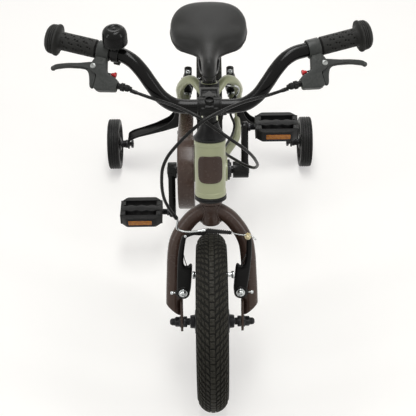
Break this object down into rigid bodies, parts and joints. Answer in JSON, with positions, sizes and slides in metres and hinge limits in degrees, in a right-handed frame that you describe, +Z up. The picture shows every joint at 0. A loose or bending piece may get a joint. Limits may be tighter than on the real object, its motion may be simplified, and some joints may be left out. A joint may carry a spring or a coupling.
{
  "type": "kids bike",
  "caption": "Small child's bicycle with a closed chain guard, high-rise handlebar, bell, rim brakes front and rear and bolt-on training wheels.",
  "frame": {"origin": "on the ground in the bike's middle plane, midway between the two wheel axles", "axes": "+Z up, the bike faces -Y, and +X is its own left side"},
  "size_m": [0.5042, 0.8968, 0.6296],
  "materials": {
    "sage_paint": "satin sage green paint with a clear coat",
    "brown_paint": "gloss mauve brown paint",
    "black_paint": "gloss black powder coat",
    "black_plastic": "moulded black plastic, satin",
    "lever_resin": "dark grey glass-filled plastic, satin",
    "tyre_rubber": "black tread rubber",
    "grip_rubber": "soft black rubber with moulded dimples",
    "saddle_vinyl": "smooth black vinyl over foam",
    "steel": "plain steel",
    "black_steel": "black plated steel",
    "pad_rubber": "hard brake rubber",
    "cable_jacket": "black cable casing"
  },
  "bodies": {
    "frame": {"head_tube": "sage_paint", "lower_headset_cup": "black_plastic", "down_tube": "sage_paint", "bottom_bracket_shell": "sage_paint", "seat_tube": "sage_paint", "top_tube": "sage_paint", "chain_stay_left": "sage_paint", "chain_stay_right": "sage_paint", "seat_stay_left": "sage_paint", "seat_stay_right": "sage_paint", "seat_clamp": "black_steel", "chain": "steel", "chain_guard_outer": "brown_paint", "chain_guard_inner": "brown_paint", "rear_axle": "black_steel", "training_bracket_left": "black_steel", "training_bracket_right": "black_steel", "rear_brake_cable": "cable_jacket"},
    "saddle_unit": {"seat_post": "black_paint", "saddle_base": "black_plastic", "saddle": "saddle_vinyl"},
    "fork_and_bar": {"fork_steerer": "brown_paint", "fork_leg_left": "brown_paint", "fork_leg_right": "brown_paint", "headset_cover": "black_plastic", "stem": "black_paint", "handlebar": "black_paint", "grip_left": "grip_rubber", "grip_right": "grip_rubber", "bell_base": "black_plastic", "bell_dome": "black_paint", "lever_bracket_left": "lever_resin", "lever_bracket_right": "lever_resin", "front_axle": "black_steel", "front_brake_cable": "cable_jacket"},
    "bell_thumb_lever": {"bell_lever": "black_plastic"},
    "left_brake_lever": {"brake_lever_left": "lever_resin"},
    "right_brake_lever": {"brake_lever_right": "lever_resin"},
    "front_wheel": {"front_tyre": "tyre_rubber", "front_rim": "black_paint", "front_hub": "black_steel"},
    "rear_wheel": {"rear_tyre": "tyre_rubber", "rear_rim": "black_paint", "rear_hub": "black_steel"},
    "freewheel": {"rear_sprocket": "black_steel"},
    "crankset": {"crank_left": "black_paint", "crank_right": "black_paint", "chainring": "black_steel"},
    "left_pedal": {"pedal_left": "black_plastic"},
    "right_pedal": {"pedal_right": "black_plastic"},
    "left_training_wheel": {"training_wheel_left": "black_plastic"},
    "right_training_wheel": {"training_wheel_right": "black_plastic"},
    "front_left_brake_arm": {"front_brake_arm_left": "black_paint", "front_brake_pad_left": "pad_rubber"},
    "front_right_brake_arm": {"front_brake_arm_right": "black_paint", "front_brake_pad_right": "pad_rubber"},
    "rear_left_brake_arm": {"rear_brake_arm_left": "black_paint", "rear_brake_pad_left": "pad_rubber"},
    "rear_right_brake_arm": {"rear_brake_arm_right": "black_paint", "rear_brake_pad_right": "pad_rubber"}
  },
  "joints": [
    {"name": "steering", "type": "hinge", "parent": "frame", "child": "fork_and_bar", "pos_m": [0, -0.18521, 0.35149], "axis": [0, 0.3746, 0.9272], "range_deg": [-60, 60], "deforming": ["rear_brake_cable"]},
    {"name": "saddle_height", "type": "slide", "parent": "frame", "child": "saddle_unit", "axis": [0, 0.342, 0.9397], "range_m": [0, 0.05]},
    {"name": "front_wheel_spin", "type": "hinge", "parent": "fork_and_bar", "child": "front_wheel", "pos_m": [0, -0.295, 0.154], "axis": [1, 0, 0], "continuous": true},
    {"name": "rear_wheel_spin", "type": "hinge", "parent": "frame", "child": "rear_wheel", "pos_m": [0, 0.295, 0.154], "axis": [1, 0, 0], "continuous": true},
    {"name": "crank_spin", "type": "hinge", "parent": "frame", "child": "crankset", "pos_m": [0, 0.068, 0.18], "axis": [1, 0, 0], "continuous": true},
    {"name": "rear_sprocket_spin", "type": "hinge", "parent": "frame", "child": "freewheel", "pos_m": [-0.0463, 0.295, 0.154], "axis": [1, 0, 0], "continuous": true},
    {"name": "left_pedal_spin", "type": "hinge", "parent": "crankset", "child": "left_pedal", "pos_m": [0.089, 0.10814, 0.25549], "axis": [1, 0, 0], "continuous": true},
    {"name": "right_pedal_spin", "type": "hinge", "parent": "crankset", "child": "right_pedal", "pos_m": [-0.0975, 0.02786, 0.10451], "axis": [1, 0, 0], "continuous": true},
    {"name": "left_training_wheel_spin", "type": "hinge", "parent": "frame", "child": "left_training_wheel", "pos_m": [0.2155, 0.3, 0.057], "axis": [1, 0, 0], "continuous": true},
    {"name": "right_training_wheel_spin", "type": "hinge", "parent": "frame", "child": "right_training_wheel", "pos_m": [-0.2155, 0.3, 0.057], "axis": [1, 0, 0], "continuous": true},
    {"name": "bell_thumb", "type": "hinge", "parent": "fork_and_bar", "child": "bell_thumb_lever", "pos_m": [-0.13343, -0.10853, 0.59619], "axis": [0, 0, 1], "range_deg": [0, 30], "stiffness_Nm_per_rad": 0.01, "springref_deg": -2.86},
    {"name": "left_brake_squeeze", "type": "hinge", "parent": "fork_and_bar", "child": "left_brake_lever", "pos_m": [0.1752, -0.13191, 0.56961], "axis": [0.095, -0.6399, 0.7626], "range_deg": [0, 14], "stiffness_Nm_per_rad": 2, "springref_deg": -2.86},
    {"name": "right_brake_squeeze", "type": "hinge", "parent": "fork_and_bar", "child": "right_brake_lever", "pos_m": [-0.1752, -0.13191, 0.56961], "axis": [0.095, 0.6399, -0.7626], "range_deg": [0, 14], "stiffness_Nm_per_rad": 2, "springref_deg": -2.86},
    {"name": "front_left_arm", "type": "hinge", "parent": "fork_and_bar", "child": "front_left_brake_arm", "pos_m": [0.048, -0.28371, 0.2198], "axis": [0, -0.9272, 0.3746], "range_deg": [0, 1.4]},
    {"name": "front_right_arm", "type": "hinge", "parent": "fork_and_bar", "child": "front_right_brake_arm", "pos_m": [-0.048, -0.28371, 0.2198], "axis": [0, -0.9272, 0.3746], "range_deg": [-1.4, 0]},
    {"name": "rear_left_arm", "type": "hinge", "parent": "frame", "child": "rear_left_brake_arm", "pos_m": [0.048, 0.27853, 0.21864], "axis": [0, 0.8601, 0.5101], "range_deg": [-1.4, 0]},
    {"name": "rear_right_arm", "type": "hinge", "parent": "frame", "child": "rear_right_brake_arm", "pos_m": [-0.048, 0.27853, 0.21864], "axis": [0, 0.8601, 0.5101], "range_deg": [0, 1.4]}
  ],
  "couplings": [
    {"joint": "rear_sprocket_spin", "follows": "crank_spin", "ratio": 2},
    {"joint": "front_left_arm", "follows": "left_brake_squeeze", "ratio": 0.1},
    {"joint": "front_right_arm", "follows": "left_brake_squeeze", "ratio": -0.1},
    {"joint": "rear_left_arm", "follows": "right_brake_squeeze", "ratio": -0.1},
    {"joint": "rear_right_arm", "follows": "right_brake_squeeze", "ratio": 0.1}
  ]
}
